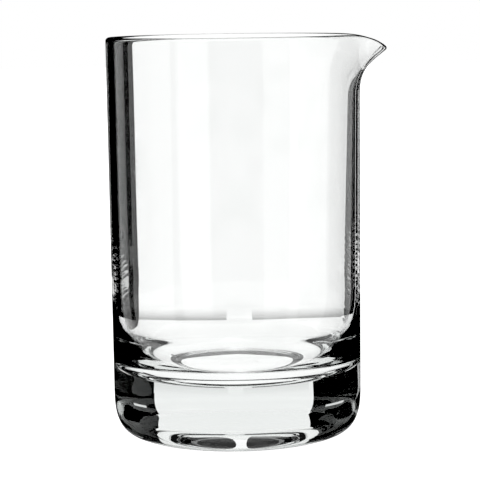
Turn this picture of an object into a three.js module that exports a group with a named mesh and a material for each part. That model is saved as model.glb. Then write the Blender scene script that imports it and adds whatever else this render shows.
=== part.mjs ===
// A stirring glass for the bar: one piece of clear glass with a thick base, a plain
// round wall, a fire-polished rim and a pouring lip drawn out of the rim on the +X side.
// Millimetres, +Z up. The glass stands on the plane Z = 0, and the origin is the centre of
// the box that holds it, so the glass's own axis stands half of the lip's overhang to -X.
import * as THREE from 'three';

// Overall shape
const HEIGHT = 144.1;
const RIM_RADIUS = 45.6;
const FOOT_RADIUS = 44.9; // what the wall's straight outer line comes to at Z = 0

// Underside: a recess inside a flat ring, which is all that touches the bar
const RECESS_RADIUS = 28.9;
const RECESS_HEIGHT = 7.1;
const RECESS_ROUNDING = 6.1; // radius of the curve from the recess's side into its ceiling
const RECESS_CROWN = 0.6; // how far the middle of the ceiling hangs below its edge
const REST_RADIUS = 31.6; // outer edge of the flat ring

// Heel: the outer curve from the flat ring up to the wall, a quarter of a superellipse
const HEEL_HEIGHT = 17.9;
const HEEL_POWER = 3.07;

// Wall
const WALL_AT_RIM = 2.6;
const WALL_AT_WELL = 3.2;

// Well: the rounded bottom of the inside, a quarter of a superellipse with a crowned middle
const WELL_TOP = 58; // where the well runs into the straight inner wall
const FLOOR_HEIGHT = 20.6; // height of the floor inside, without its crown
const WELL_SIDE_POWER = 5;
const WELL_FLOOR_POWER = 3.3;
const FLOOR_CROWN = 1.3; // how far the middle of the floor rises
const CROWN_RADIUS = 20; // how far out the crown reaches before it fades

// Lip: the soft wall bent outwards round the +X direction
const LIP_LEAN = THREE.MathUtils.degToRad(52); // lean from vertical at the tip
const LIP_STRAIGHT = 4.3; // length at the tip that keeps the full lean
const LIP_LENGTH = 22.6; // length of wall that bends, measured down from the rim
const LIP_THINNING = 0.29; // share of the wall's thickness lost at the tip
const LIP_HALF_ANGLE = THREE.MathUtils.degToRad(13.5); // how fast the lip fades sideways
const LIP_FADE_POWER = 1.5;
const LIP_TIP_ROUNDING = THREE.MathUtils.degToRad(3);

// How finely the surfaces are divided
const SEGMENTS = 80;
const CROWDING = 0.5; // how much closer the segments stand at the lip
const CEILING_STEPS = 3;
const RECESS_STEPS = 6;
const HEEL_STEPS = 8;
const WALL_STEPS = 3;
const LIP_STEPS = 9;
const RIM_STEPS = 6;
const WELL_STEPS = 16;
const CURVE_STEPS = 200;
const BEND_STEPS = 24;

const GLASS = { color: 0xeef2f1, roughness: 0.03, metalness: 0, transparent: true, opacity: 0.35 };

const wallRadius = (z) => THREE.MathUtils.lerp(FOOT_RADIUS, RIM_RADIUS, z / HEIGHT);

const wallThickness = (z) => {
  const share = (z - WELL_TOP) / (HEIGHT - WELL_TOP);
  return THREE.MathUtils.lerp(WALL_AT_WELL, WALL_AT_RIM, share);
};

const boreRadius = (z) => wallRadius(z) - wallThickness(z);

// Equal steps from one number to another, leaving out the first and keeping the last.
const steps = (from, to, count) =>
  Array.from({ length: count }, (_, i) => THREE.MathUtils.lerp(from, to, (i + 1) / count));

// The well's half outline, from the inner wall to the middle of the floor, in equal steps.
function well() {
  const radius = boreRadius(WELL_TOP);
  const depth = WELL_TOP - FLOOR_HEIGHT;
  const corner = [0, ...steps(0, Math.PI / 2, CURVE_STEPS)].map((turn) => {
    const r = radius * Math.cos(turn) ** (2 / WELL_SIDE_POWER);
    const crown = FLOOR_CROWN * Math.exp(-((r / CROWN_RADIUS) ** 2));
    return new THREE.Vector2(r, WELL_TOP - depth * Math.sin(turn) ** (2 / WELL_FLOOR_POWER) + crown);
  });
  const points = new THREE.SplineCurve(corner).getSpacedPoints(WELL_STEPS).slice(1);
  points.at(-1).x = 0;
  return points;
}

// Half the outline of the glass cut through its axis, as radius and height, from the middle
// of the underside round to the middle of the floor inside.
function outline() {
  const ceilingRadius = RECESS_RADIUS - RECESS_ROUNDING;
  const ceilingHeight = RECESS_HEIGHT - RECESS_ROUNDING;
  const points = [new THREE.Vector2(0, RECESS_HEIGHT - RECESS_CROWN)];
  for (const share of steps(0, 1, CEILING_STEPS)) {
    const hang = RECESS_CROWN * (1 - share * share);
    points.push(new THREE.Vector2(ceilingRadius * share, RECESS_HEIGHT - hang));
  }
  for (const turn of steps(0, Math.PI / 2, RECESS_STEPS)) {
    const r = ceilingRadius + RECESS_ROUNDING * Math.sin(turn);
    points.push(new THREE.Vector2(r, ceilingHeight + RECESS_ROUNDING * Math.cos(turn)));
  }
  points.push(new THREE.Vector2(RECESS_RADIUS, 0));
  points.push(new THREE.Vector2(REST_RADIUS, 0));

  const heelTop = wallRadius(HEEL_HEIGHT);
  for (const turn of steps(0, Math.PI / 2, HEEL_STEPS)) {
    const out = Math.sin(turn) ** (2 / HEEL_POWER);
    const down = Math.cos(turn) ** (2 / HEEL_POWER);
    const r = THREE.MathUtils.lerp(REST_RADIUS, heelTop, out);
    points.push(new THREE.Vector2(r, HEEL_HEIGHT * (1 - down)));
  }

  const beadRadius = WALL_AT_RIM / 2;
  const beadHeight = HEIGHT - beadRadius;
  const lipFoot = HEIGHT - LIP_LENGTH;
  const wallHeights = [
    ...steps(HEEL_HEIGHT, lipFoot, WALL_STEPS),
    ...steps(lipFoot, beadHeight, LIP_STEPS),
  ];
  for (const z of wallHeights) {
    points.push(new THREE.Vector2(wallRadius(z), z));
  }

  const beadMiddle = wallRadius(beadHeight) - beadRadius;
  for (const turn of steps(0, Math.PI, RIM_STEPS)) {
    const r = beadMiddle + beadRadius * Math.cos(turn);
    points.push(new THREE.Vector2(r, beadHeight + beadRadius * Math.sin(turn)));
  }

  const boreHeights = [
    ...steps(beadHeight, lipFoot, LIP_STEPS),
    ...steps(lipFoot, WELL_TOP, WALL_STEPS),
  ];
  for (const z of boreHeights) {
    points.push(new THREE.Vector2(boreRadius(z), z));
  }

  points.push(...well());
  return points;
}

// How strongly the lip bends the wall at an angle from +X, from 1 at its middle to 0.
function lipStrength(angle) {
  const rounded = Math.hypot(angle, LIP_TIP_ROUNDING) - LIP_TIP_ROUNDING;
  return Math.exp(-((rounded / LIP_HALF_ANGLE) ** LIP_FADE_POWER));
}

// Where the middle of the bent wall comes to, out and up from the lip's foot, and how far it
// leans there, for a point that stands at a given height before the bend.
function bentWall(height, strength) {
  const run = height - (HEIGHT - LIP_LENGTH);
  const leanAt = (travelled) => {
    const share = THREE.MathUtils.smoothstep(LIP_LENGTH - travelled, LIP_STRAIGHT, LIP_LENGTH);
    return LIP_LEAN * strength * (1 - share);
  };
  const step = run / BEND_STEPS;
  let out = 0;
  let up = 0;
  for (let i = 0; i < BEND_STEPS; i += 1) {
    const lean = leanAt((i + 0.5) * step);
    out += Math.sin(lean) * step;
    up += Math.cos(lean) * step;
  }
  return { out, up, lean: leanAt(run) };
}

// Bends the wall outwards round +X. The rim's bead turns as one with the wall's end.
function drawLip(point) {
  const lipFoot = HEIGHT - LIP_LENGTH;
  if (point.z <= lipFoot) {
    return;
  }
  const angle = Math.atan2(point.y, point.x);
  const radius = Math.hypot(point.x, point.y);
  const beadHeight = HEIGHT - WALL_AT_RIM / 2;
  const height = Math.min(point.z, beadHeight);
  const middle = wallRadius(height) - wallThickness(height) / 2;
  const bent = bentWall(height, lipStrength(angle));
  const thinning = 1 - LIP_THINNING * bent.lean / LIP_LEAN;
  const across = (radius - middle) * thinning;
  const along = (point.z - height) * thinning;
  const r = middle + bent.out + across * Math.cos(bent.lean) + along * Math.sin(bent.lean);
  point.z = lipFoot + bent.up - across * Math.sin(bent.lean) + along * Math.cos(bent.lean);
  point.x = r * Math.cos(angle);
  point.y = r * Math.sin(angle);
}

// Turns the outline about Z, with the seam at -X and the segments closest at the lip.
function glassBody() {
  const geometry = new THREE.LatheGeometry(outline(), SEGMENTS, -Math.PI / 2);
  geometry.rotateX(Math.PI / 2);
  const position = geometry.getAttribute('position');
  const point = new THREE.Vector3();
  for (let i = 0; i < position.count; i += 1) {
    point.fromBufferAttribute(position, i);
    const radius = Math.hypot(point.x, point.y);
    const even = Math.atan2(point.y, point.x);
    const angle = even - CROWDING * Math.sin(even);
    point.x = radius * Math.cos(angle);
    point.y = radius * Math.sin(angle);
    drawLip(point);
    position.setXYZ(i, point.x, point.y, point.z);
  }
  geometry.computeVertexNormals();
  return geometry;
}

const vessel = new THREE.Mesh(glassBody(), new THREE.MeshStandardMaterial(GLASS));
vessel.name = 'glass_vessel';

// The lip overhangs the round body, so the middle of the box lies that way from the axis.
vessel.geometry.computeBoundingBox();
const box = vessel.geometry.boundingBox;
vessel.position.x = -(box.min.x + box.max.x) / 2;

const mixingGlass = new THREE.Group();
mixingGlass.add(vessel);

export default mixingGlass;
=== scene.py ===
"""The looks of the stirring glass: its fine surface, its clear glass, a pale studio and the camera.

Metres throughout. The round body's axis, its rim and its height come from the CAD frame, and the
outline's other dimensions are the ones that the CAD model was made with.
"""
import math

import bpy
import numpy as np
from mathutils import Matrix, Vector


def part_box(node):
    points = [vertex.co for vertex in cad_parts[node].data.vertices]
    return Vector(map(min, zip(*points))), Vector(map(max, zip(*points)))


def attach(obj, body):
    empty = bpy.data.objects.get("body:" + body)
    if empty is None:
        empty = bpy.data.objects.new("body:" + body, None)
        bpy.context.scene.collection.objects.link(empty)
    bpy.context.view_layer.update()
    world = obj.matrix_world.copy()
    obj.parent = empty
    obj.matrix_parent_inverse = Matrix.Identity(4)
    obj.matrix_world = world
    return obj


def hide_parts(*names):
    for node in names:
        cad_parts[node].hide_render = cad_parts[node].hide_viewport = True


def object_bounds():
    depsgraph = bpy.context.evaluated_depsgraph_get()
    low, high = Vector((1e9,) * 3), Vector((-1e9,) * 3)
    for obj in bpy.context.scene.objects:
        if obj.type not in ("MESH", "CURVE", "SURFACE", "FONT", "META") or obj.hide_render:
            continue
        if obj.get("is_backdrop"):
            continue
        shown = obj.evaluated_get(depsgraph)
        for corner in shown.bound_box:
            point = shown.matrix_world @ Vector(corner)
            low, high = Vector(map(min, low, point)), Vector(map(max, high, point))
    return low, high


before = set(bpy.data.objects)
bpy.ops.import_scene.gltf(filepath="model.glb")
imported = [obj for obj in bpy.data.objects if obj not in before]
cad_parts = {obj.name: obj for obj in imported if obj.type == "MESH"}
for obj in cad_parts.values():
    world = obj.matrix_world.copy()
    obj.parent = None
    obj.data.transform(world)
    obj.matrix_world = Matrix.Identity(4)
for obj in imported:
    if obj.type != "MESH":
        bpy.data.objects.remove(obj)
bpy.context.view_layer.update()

NODE = "glass_vessel"
MM = 0.001

# Read from the frame
low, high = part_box(NODE)
HEIGHT = high.z
RIM_RADIUS = (high.y - low.y) / 2
AXIS_X = low.x + RIM_RADIUS

# The outline's other dimensions
FOOT_RADIUS = 44.9 * MM
RECESS_RADIUS = 28.9 * MM
RECESS_HEIGHT = 7.1 * MM
RECESS_ROUNDING = 6.1 * MM
RECESS_CROWN = 0.6 * MM
REST_RADIUS = 31.6 * MM
HEEL_HEIGHT = 17.9 * MM
HEEL_POWER = 3.07
WALL_AT_RIM = 2.6 * MM
WALL_AT_WELL = 3.2 * MM
WELL_TOP = 58 * MM
FLOOR_HEIGHT = 20.6 * MM
WELL_SIDE_POWER = 5
WELL_FLOOR_POWER = 3.3
FLOOR_CROWN = 1.3 * MM
CROWN_RADIUS = 20 * MM
LIP_LEAN = math.radians(52)
LIP_STRAIGHT = 4.3 * MM
LIP_LENGTH = 22.6 * MM
LIP_THINNING = 0.29
LIP_HALF_ANGLE = math.radians(13.5)
LIP_FADE_POWER = 1.5
LIP_TIP_ROUNDING = math.radians(3)

# Unevenness of a hand-made glass: the bore stands off centre, and chill waves cross its lower
# wall, strongest at the two sides. A wave is its length up the wall, its turns round the wall,
# its phase and its share. A draw line is its count round the wall and its phase.
BORE_OFFSET = 0.25 * MM
WAVES_LOW = 26 * MM
WAVES_HIGH = 82 * MM
WAVES_FADE = 16 * MM
WAVES_HEIGHT = 0.025 * MM
WAVES_AT_BACK = 0.04
WAVES_NARROWNESS = 50
WAVES = (
    (2.2 * MM, 3, 0.4, 1.0),
    (3.4 * MM, -5, 2.1, 0.8),
    (1.6 * MM, 11, 4.0, 0.4),
)
DRAW_LINES_HEIGHT = 0.002 * MM
DRAW_LINES = ((17, 0.3), (29, 1.9))

# Glass: the marks of use on its polish, its depth of colour, and the slight roll of its surface
GLASS_INDEX = 1.5
POLISHED = 0.0
MARKED = 0.06
HANDLING_SCALE = 38
HANDLING_DETAIL = 3
HANDLING_SPAN = (0.5, 0.72)
SPECK_SCALE = 900
SPECK_DETAIL = 2
SPECK_SPAN = (0.42, 0.62)
CLEAN_TINT = (0.985, 0.99, 0.987, 1)
MARKED_TINT = (0.955, 0.963, 0.958, 1)
DEPTH_COLOUR = (0.5, 0.55, 0.53, 1)
DEPTH_DENSITY = 5.0
ROLL_HEIGHT = 0.02 * MM
ROLL_SCALE = 22
ROLL_DETAIL = 0

# How finely the surface is divided
SEGMENTS = 320
CROWDING = 0.45
CEILING_STEPS = 10
RECESS_STEPS = 14
HEEL_STEPS = 26
WALL_STEPS = 12
LIP_STEPS = 20
RIM_STEPS = 16
BORE_STEPS = 10
WAVES_STEPS = 60
WELL_STEPS = 104
CURVE_STEPS = 2000
BEND_STEPS = 400

# Camera: where the photographer stood and how the picture is framed
CAMERA_DISTANCE = 0.728
CAMERA_RISE = 13.3 * MM
CAMERA_LENS = 151.5
CAMERA_SENSOR = 36
CAMERA_PITCH = math.radians(-6.83)
CAMERA_YAW = math.radians(-0.13)
CAMERA_ROLL = math.radians(-0.8)

# Studio: a white surround, grey above it, a strip light overhead, a grey edge behind the glass
# and dark cards at the sides.
# A card is its distance, bottom and top, its first and last bearing in degrees, and its glow. Two
# of them are the lit slots between the near cards that the chill waves and the base pick up.
FLOOR_RADIUS = 4.0
FLOOR_COLOUR = (0.55, 0.55, 0.55)
FLOOR_GLOW = 1.0
SURROUND_GLOW = 1.16
WALL_HEIGHT = 2.0
UPPER_RADIUS = 2.0
UPPER_BOTTOM = 1.0
UPPER_TOP = 2.4
UPPER_BACK = (50, 130)
UPPER_GLOW = 0.28
SIDES_GLOW = 0.01
CEILING_GLOW = 0.04
STRIP_RADIUS = 1.3
STRIP_WIDTH = 0.17
STRIP_OFFSET_BEHIND = -0.03
STRIP_OFFSET_OVERHEAD = 0.09
STRIP_START = math.radians(20)
STRIP_END = math.radians(120)
EDGE_DISTANCE = 0.264
EDGE_BOTTOM = -49 * MM
EDGE_TOP = -17 * MM
EDGE_GLOW = 0.5
EDGE_SPANS = ((67, 88.0), (91.2, 108))
LEFT_RADIUS = 0.221
LEFT_TOP = 0.25
LEFT_SLOT = (0.021, 0.029)
LEFT_SPAN = (108.45, 127)
LEFT_SLOT_START = 114.5
RIGHT_RADIUS = 0.277
RIGHT_TOP = 0.31
RIGHT_SLOT = (0.022, 0.032)
RIGHT_SPAN = (53, 66.95)
RIGHT_SLOT_END = 62
NEAR_BOTTOM = -0.08
SLOT_GLOW = 0.9
FAR_RADIUS = 1.0
FAR_HEIGHTS = (-0.26, 0.45)
CARD_POINTS = 48
CARDS = (
    (LEFT_RADIUS, NEAR_BOTTOM, LEFT_SLOT[0], *LEFT_SPAN, 0.0),
    (LEFT_RADIUS, *LEFT_SLOT, LEFT_SPAN[0], LEFT_SLOT_START, 0.0),
    (LEFT_RADIUS, *LEFT_SLOT, LEFT_SLOT_START, LEFT_SPAN[1], SLOT_GLOW),
    (LEFT_RADIUS, LEFT_SLOT[1], LEFT_TOP, *LEFT_SPAN, 0.0),
    (RIGHT_RADIUS, NEAR_BOTTOM, RIGHT_SLOT[0], *RIGHT_SPAN, 0.0),
    (RIGHT_RADIUS, *RIGHT_SLOT, RIGHT_SPAN[0], RIGHT_SLOT_END, SLOT_GLOW),
    (RIGHT_RADIUS, *RIGHT_SLOT, RIGHT_SLOT_END, RIGHT_SPAN[1], 0.0),
    (RIGHT_RADIUS, RIGHT_SLOT[1], RIGHT_TOP, *RIGHT_SPAN, 0.0),
    (FAR_RADIUS, *FAR_HEIGHTS, 118, 158, 0.0),
    (FAR_RADIUS, *FAR_HEIGHTS, 210, 296, 0.0),
    (FAR_RADIUS, *FAR_HEIGHTS, 330, 418, 0.0),
)


def smoothstep(x, edge0, edge1):
    t = np.clip((x - edge0) / (edge1 - edge0), 0, 1)
    return t * t * (3 - 2 * t)


def wall_radius(z):
    return FOOT_RADIUS + (RIM_RADIUS - FOOT_RADIUS) * z / HEIGHT


def wall_thickness(z):
    share = (z - WELL_TOP) / (HEIGHT - WELL_TOP)
    return WALL_AT_WELL + (WALL_AT_RIM - WALL_AT_WELL) * share


def bore_radius(z):
    return wall_radius(z) - wall_thickness(z)


def steps(start, end, count):
    """Equal steps, leaving out the first number and keeping the last."""
    return np.linspace(start, end, count + 1)[1:]


def evenly(radii, heights, count):
    """Points in steps of equal length along a curve, leaving out its first point."""
    travelled = np.concatenate([[0], np.cumsum(np.hypot(np.diff(radii), np.diff(heights)))])
    places = steps(0, travelled[-1], count)
    return np.interp(places, travelled, radii), np.interp(places, travelled, heights)


def heel():
    """The outer curve from the flat ring up to the wall."""
    turn = np.linspace(0, math.pi / 2, CURVE_STEPS + 1)
    out = np.sin(turn) ** (2 / HEEL_POWER)
    down = np.clip(np.cos(turn), 0, 1) ** (2 / HEEL_POWER)
    width = wall_radius(HEEL_HEIGHT) - REST_RADIUS
    return evenly(REST_RADIUS + width * out, HEEL_HEIGHT * (1 - down), HEEL_STEPS)


def well():
    """The bottom of the inside, from the inner wall to the crowned middle of the floor."""
    turn = np.linspace(0, math.pi / 2, CURVE_STEPS + 1)
    radii = bore_radius(WELL_TOP) * np.clip(np.cos(turn), 0, 1) ** (2 / WELL_SIDE_POWER)
    fall = (WELL_TOP - FLOOR_HEIGHT) * np.sin(turn) ** (2 / WELL_FLOOR_POWER)
    crown = FLOOR_CROWN * np.exp(-((radii / CROWN_RADIUS) ** 2))
    return evenly(radii, WELL_TOP - fall + crown, WELL_STEPS)


def outline():
    """Half the glass cut through its axis, from under the base round to the floor inside.

    Gives each point's radius, its height, and how far it belongs to the bore, from 0 to 1.
    """
    ceiling_radius = RECESS_RADIUS - RECESS_ROUNDING
    share = np.linspace(0, 1, CEILING_STEPS + 1)
    parts = [(ceiling_radius * share, RECESS_HEIGHT - RECESS_CROWN * (1 - share**2), 0 * share)]
    turn = steps(0, math.pi / 2, RECESS_STEPS)
    rise = RECESS_HEIGHT - RECESS_ROUNDING + RECESS_ROUNDING * np.cos(turn)
    parts.append((ceiling_radius + RECESS_ROUNDING * np.sin(turn), rise, 0 * turn))
    ring = np.array([RECESS_RADIUS, REST_RADIUS])
    parts.append((ring, 0 * ring, 0 * ring))

    r, z = heel()
    parts.append((r, z, 0 * r))

    bead_radius = WALL_AT_RIM / 2
    bead_height = HEIGHT - bead_radius
    lip_foot = HEIGHT - LIP_LENGTH
    for z in (steps(HEEL_HEIGHT, lip_foot, WALL_STEPS), steps(lip_foot, bead_height, LIP_STEPS)):
        parts.append((wall_radius(z), z, 0 * z))

    turn = steps(0, math.pi, RIM_STEPS)
    bead_middle = wall_radius(bead_height) - bead_radius
    bead = bead_middle + bead_radius * np.cos(turn)
    parts.append((bead, bead_height + bead_radius * np.sin(turn), (1 - np.cos(turn)) / 2))

    bore_heights = (
        steps(bead_height, lip_foot, LIP_STEPS),
        steps(lip_foot, WAVES_HIGH, BORE_STEPS),
        steps(WAVES_HIGH, WELL_TOP, WAVES_STEPS),
    )
    for z in bore_heights:
        parts.append((bore_radius(z), z, np.ones_like(z)))

    r, z = well()
    parts.append((r, z, r / bore_radius(WELL_TOP)))

    return [np.concatenate(column) for column in zip(*parts)]


def unevenness(angle, heights):
    """How far the bore stands outwards of its true radius at an angle, for each height."""
    off_centre = BORE_OFFSET * smoothstep(heights, WELL_TOP, HEIGHT) * math.cos(angle)
    rises = smoothstep(heights, WAVES_LOW, WAVES_LOW + WAVES_FADE)
    band = rises * (1 - smoothstep(heights, WAVES_HIGH - WAVES_FADE, WAVES_HIGH))
    band *= WAVES_AT_BACK + (1 - WAVES_AT_BACK) * math.cos(angle) ** WAVES_NARROWNESS
    waves = 0 * heights
    for length, turns, phase, share in WAVES:
        waves += share * np.sin(2 * math.pi * heights / length + turns * angle + phase)
    lines = sum(math.sin(count * angle + phase) for count, phase in DRAW_LINES)
    return off_centre + WAVES_HEIGHT * band * waves + DRAW_LINES_HEIGHT * lines


def lip_strength(angle):
    rounded = np.hypot(angle, LIP_TIP_ROUNDING) - LIP_TIP_ROUNDING
    return np.exp(-((rounded / LIP_HALF_ANGLE) ** LIP_FADE_POWER))


def draw_lip(radii, heights, strength):
    """Bends the wall outwards by one segment's strength, and gives its new radii and heights."""
    travelled = np.linspace(0, LIP_LENGTH, BEND_STEPS + 1)
    lean = LIP_LEAN * strength * (1 - smoothstep(LIP_LENGTH - travelled, LIP_STRAIGHT, LIP_LENGTH))
    step = LIP_LENGTH / BEND_STEPS
    out = np.concatenate([[0], np.cumsum(np.sin((lean[1:] + lean[:-1]) / 2)) * step])
    up = np.concatenate([[0], np.cumsum(np.cos((lean[1:] + lean[:-1]) / 2)) * step])

    lip_foot = HEIGHT - LIP_LENGTH
    stands = np.minimum(heights, HEIGHT - WALL_AT_RIM / 2)
    run = np.clip(stands - lip_foot, 0, LIP_LENGTH)
    leans = np.interp(run, travelled, lean)
    thinning = 1 - LIP_THINNING * leans / LIP_LEAN
    middle = wall_radius(stands) - wall_thickness(stands) / 2
    across = (radii - middle) * thinning
    along = (heights - stands) * thinning
    bent_radii = middle + np.interp(run, travelled, out)
    bent_radii += across * np.cos(leans) + along * np.sin(leans)
    bent_heights = lip_foot + np.interp(run, travelled, up)
    bent_heights += along * np.cos(leans) - across * np.sin(leans)
    in_lip = heights > lip_foot
    return np.where(in_lip, bent_radii, radii), np.where(in_lip, bent_heights, heights)


def glass_mesh():
    """The fine surface as one closed mesh: the outline turned about the axis, with its lip."""
    radii, heights, bore = (column[1:-1] for column in outline())
    even = np.linspace(-math.pi, math.pi, SEGMENTS, endpoint=False)
    angles = even - CROWDING * np.sin(even)
    points = [(AXIS_X, 0, RECESS_HEIGHT - RECESS_CROWN), (AXIS_X, 0, FLOOR_HEIGHT + FLOOR_CROWN)]
    for angle in angles:
        uneven = radii + bore * unevenness(angle, heights)
        r, z = draw_lip(uneven, heights, lip_strength(angle))
        points.extend(zip(AXIS_X + r * math.cos(angle), r * math.sin(angle), z))

    rows = len(radii)
    faces = []
    for i in range(SEGMENTS):
        here = 2 + i * rows
        after = 2 + (i + 1) % SEGMENTS * rows
        faces.append((0, after, here))
        faces.extend((here + j, after + j, after + j + 1, here + j + 1) for j in range(rows - 1))
        faces.append((here + rows - 1, after + rows - 1, 1))

    mesh = bpy.data.meshes.new("mixing_glass")
    mesh.from_pydata([tuple(map(float, p)) for p in points], [], faces)
    mesh.shade_smooth()
    mesh.update()
    return mesh


def clear_glass():
    """Colourless soda-lime glass, fire-polished, with the faint marks of use.

    Broad patches of handling and a fine grain of dried water lift its roughness a little, its
    surface rolls very slightly, and the thick base dims what is seen through it.
    """
    material = bpy.data.materials.new("clear_glass")
    material.use_nodes = True
    nodes, links = material.node_tree.nodes, material.node_tree.links
    shader = nodes["Principled BSDF"]
    shader.inputs["IOR"].default_value = GLASS_INDEX
    shader.inputs["Transmission Weight"].default_value = 1.0

    place = nodes.new("ShaderNodeTexCoord")

    def noise(scale, detail):
        texture = nodes.new("ShaderNodeTexNoise")
        texture.inputs["Scale"].default_value = scale
        texture.inputs["Detail"].default_value = detail
        links.new(place.outputs["Object"], texture.inputs["Vector"])
        return texture.outputs["Fac"]

    def mapped(value, span, ends):
        mapping = nodes.new("ShaderNodeMapRange")
        mapping.interpolation_type = "SMOOTHSTEP"
        mapping.inputs["From Min"].default_value, mapping.inputs["From Max"].default_value = span
        mapping.inputs["To Min"].default_value, mapping.inputs["To Max"].default_value = ends
        links.new(value, mapping.inputs["Value"])
        return mapping.outputs["Result"]

    patches = mapped(noise(HANDLING_SCALE, HANDLING_DETAIL), HANDLING_SPAN, (0, 1))
    specks = mapped(noise(SPECK_SCALE, SPECK_DETAIL), SPECK_SPAN, (0, 1))
    marks = nodes.new("ShaderNodeMath")
    marks.operation = "MULTIPLY"
    links.new(patches, marks.inputs[0])
    links.new(specks, marks.inputs[1])
    links.new(mapped(marks.outputs["Value"], (0, 1), (POLISHED, MARKED)), shader.inputs["Roughness"])

    tint = nodes.new("ShaderNodeMix")
    tint.data_type = "RGBA"
    tint.inputs["A"].default_value = CLEAN_TINT
    tint.inputs["B"].default_value = MARKED_TINT
    links.new(patches, tint.inputs["Factor"])
    links.new(tint.outputs["Result"], shader.inputs["Base Color"])

    roll = nodes.new("ShaderNodeBump")
    roll.inputs["Strength"].default_value = 1.0
    roll.inputs["Distance"].default_value = ROLL_HEIGHT
    links.new(noise(ROLL_SCALE, ROLL_DETAIL), roll.inputs["Height"])
    links.new(roll.outputs["Normal"], shader.inputs["Normal"])

    depth = nodes.new("ShaderNodeVolumeAbsorption")
    depth.inputs["Color"].default_value = DEPTH_COLOUR
    depth.inputs["Density"].default_value = DEPTH_DENSITY
    links.new(depth.outputs["Volume"], nodes["Material Output"].inputs["Volume"])
    return material


def plain_material(name, colour, glow):
    """A matt surface, or one that only glows."""
    material = bpy.data.materials.new(name)
    material.use_nodes = True
    nodes = material.node_tree.nodes
    shader = nodes["Principled BSDF"]
    shader.inputs["Base Color"].default_value = (*colour, 1)
    shader.inputs["Roughness"].default_value = 1.0
    shader.inputs["Specular IOR Level"].default_value = 0.0
    shader.inputs["Emission Color"].default_value = (1, 1, 1, 1)
    shader.inputs["Emission Strength"].default_value = glow
    return material


def edge_material():
    """A tone that is grey along the bottom edge and fades up into the surround's white."""
    material = plain_material("edge_tone", (0, 0, 0), SURROUND_GLOW)
    nodes, links = material.node_tree.nodes, material.node_tree.links
    place = nodes.new("ShaderNodeTexCoord")
    axes = nodes.new("ShaderNodeSeparateXYZ")
    fade = nodes.new("ShaderNodeMapRange")
    fade.inputs["From Min"].default_value = EDGE_BOTTOM
    fade.inputs["From Max"].default_value = EDGE_TOP
    fade.inputs["To Min"].default_value = EDGE_GLOW
    fade.inputs["To Max"].default_value = SURROUND_GLOW
    links.new(place.outputs["Object"], axes.inputs[0])
    links.new(axes.outputs["Z"], fade.inputs["Value"])
    links.new(fade.outputs["Result"], nodes["Principled BSDF"].inputs["Emission Strength"])
    return material


def add_object(name, mesh, material):
    piece = bpy.data.objects.new(name, mesh)
    bpy.context.scene.collection.objects.link(piece)
    mesh.materials.append(material)
    return piece


def seen_by(piece, camera=False, diffuse=False, glossy=False, transmission=False, shadow=False):
    piece.visible_camera = camera
    piece.visible_diffuse = diffuse
    piece.visible_glossy = glossy
    piece.visible_transmission = transmission
    piece.visible_shadow = shadow


def ribbon(name, one_side, other_side, material):
    """A piece of the studio: a ribbon of faces between two rows of points of equal length."""
    count = len(one_side)
    faces = [(i, i + 1, count + i + 1, count + i) for i in range(count - 1)]
    mesh = bpy.data.meshes.new(name)
    mesh.from_pydata(one_side + other_side, [], faces)
    piece = add_object(name, mesh, material)
    piece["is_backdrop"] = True
    return piece


def arc_points(radius, start, end, height):
    """Points round the glass, from one bearing to another."""
    bearings = np.radians(np.linspace(start, end, CARD_POINTS))
    return [(AXIS_X + radius * math.cos(a), radius * math.sin(a), height) for a in bearings]


def upright_card(name, radius, start, end, bottom, top, material):
    """A curved upright card round the glass, from one bearing to another."""
    below = arc_points(radius, start, end, bottom)
    above = arc_points(radius, start, end, top)
    return ribbon(name, below, above, material)


def flat_card(name, radius, height, material):
    """A flat round card with its middle on the axis of the glass."""
    middle = arc_points(0, -180, 180, height)
    edge = arc_points(radius, -180, 180, height)
    return ribbon(name, middle, edge, material)


def strip_light(material):
    """A long strip light that arches over the glass from behind it and slants a little across."""
    turns = np.linspace(STRIP_START, STRIP_END, CARD_POINTS)
    offsets = np.linspace(STRIP_OFFSET_BEHIND, STRIP_OFFSET_OVERHEAD, CARD_POINTS)
    sides = []
    for half_width in (-STRIP_WIDTH / 2, STRIP_WIDTH / 2):
        across = AXIS_X + offsets + half_width
        sides.append(list(zip(across, STRIP_RADIUS * np.cos(turns), STRIP_RADIUS * np.sin(turns))))
    return ribbon("strip_light", *sides, material)


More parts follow.
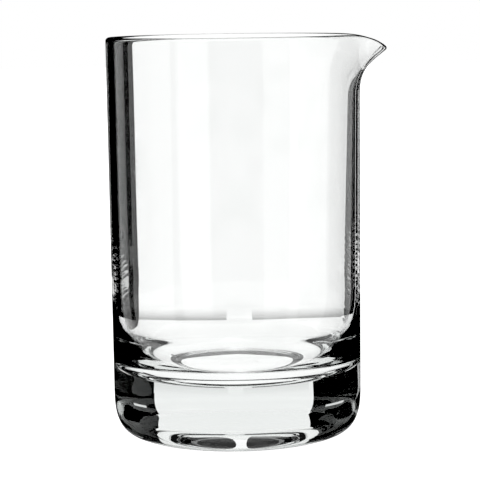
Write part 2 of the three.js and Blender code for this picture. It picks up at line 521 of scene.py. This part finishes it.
def studio():
    scene = bpy.context.scene
    scene.view_settings.view_transform = "Standard"
    world = bpy.data.worlds.new("studio")
    scene.world = world
    world.use_nodes = True
    background = world.node_tree.nodes["Background"]
    background.inputs["Color"].default_value = (1, 1, 1, 1)
    background.inputs["Strength"].default_value = 1.0
    world.cycles_visibility.glossy = False
    world.cycles_visibility.transmission = False

    pale = plain_material("pale_floor", FLOOR_COLOUR, FLOOR_GLOW)
    white = plain_material("white_surround", (0, 0, 0), SURROUND_GLOW)

    floor = flat_card("floor", FLOOR_RADIUS, 0.0, pale)
    seen_by(floor, camera=True, diffuse=True, shadow=True)
    wall = upright_card("surround", FLOOR_RADIUS, -180, 180, -WALL_HEIGHT, WALL_HEIGHT, white)
    seen_by(wall, transmission=True)
    under = flat_card("under", FLOOR_RADIUS, -WALL_HEIGHT, white)
    seen_by(under, transmission=True)

    grey = plain_material("upper_tone", (0, 0, 0), UPPER_GLOW)
    dark = plain_material("sides_tone", (0, 0, 0), SIDES_GLOW)
    dim = plain_material("ceiling_tone", (0, 0, 0), CEILING_GLOW)
    start, end = UPPER_BACK
    back = upright_card("upper_back", UPPER_RADIUS, start, end, UPPER_BOTTOM, UPPER_TOP, grey)
    seen_by(back, transmission=True)
    sides = upright_card("upper_sides", UPPER_RADIUS, end, start + 360, UPPER_BOTTOM, UPPER_TOP, dark)
    seen_by(sides, transmission=True)
    ceiling = flat_card("ceiling", UPPER_RADIUS, UPPER_TOP, dim)
    seen_by(ceiling, transmission=True)
    strip = strip_light(white)
    seen_by(strip, transmission=True)

    edge_tone = edge_material()
    for i, (start, end) in enumerate(EDGE_SPANS):
        heights = (EDGE_BOTTOM, EDGE_TOP)
        edge = upright_card(f"bench_edge_{i}", EDGE_DISTANCE, start, end, *heights, edge_tone)
        seen_by(edge, transmission=True)

    for i, (radius, bottom, top, start, end, glow) in enumerate(CARDS):
        tone = plain_material(f"card_tone_{i}", (0, 0, 0), glow)
        card = upright_card(f"card_{i}", radius, start, end, bottom, top, tone)
        seen_by(card, glossy=True, transmission=True)


def add_camera():
    """Stands in front of the glass, a little above its rim, and looks down at it."""
    data = bpy.data.cameras.new("camera")
    data.lens = CAMERA_LENS
    data.sensor_width = CAMERA_SENSOR
    camera = bpy.data.objects.new("camera", data)
    bpy.context.scene.collection.objects.link(camera)
    place = Matrix.Translation((AXIS_X, -CAMERA_DISTANCE, HEIGHT + CAMERA_RISE))
    aim = Matrix.Rotation(CAMERA_YAW, 4, "Z") @ Matrix.Rotation(math.pi / 2 + CAMERA_PITCH, 4, "X")
    camera.matrix_world = place @ aim @ Matrix.Rotation(CAMERA_ROLL, 4, "Z")
    bpy.context.scene.camera = camera


add_camera()
studio()
glass = add_object("mixing_glass", glass_mesh(), clear_glass())
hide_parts(NODE)
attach(glass, "root")

low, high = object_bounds()
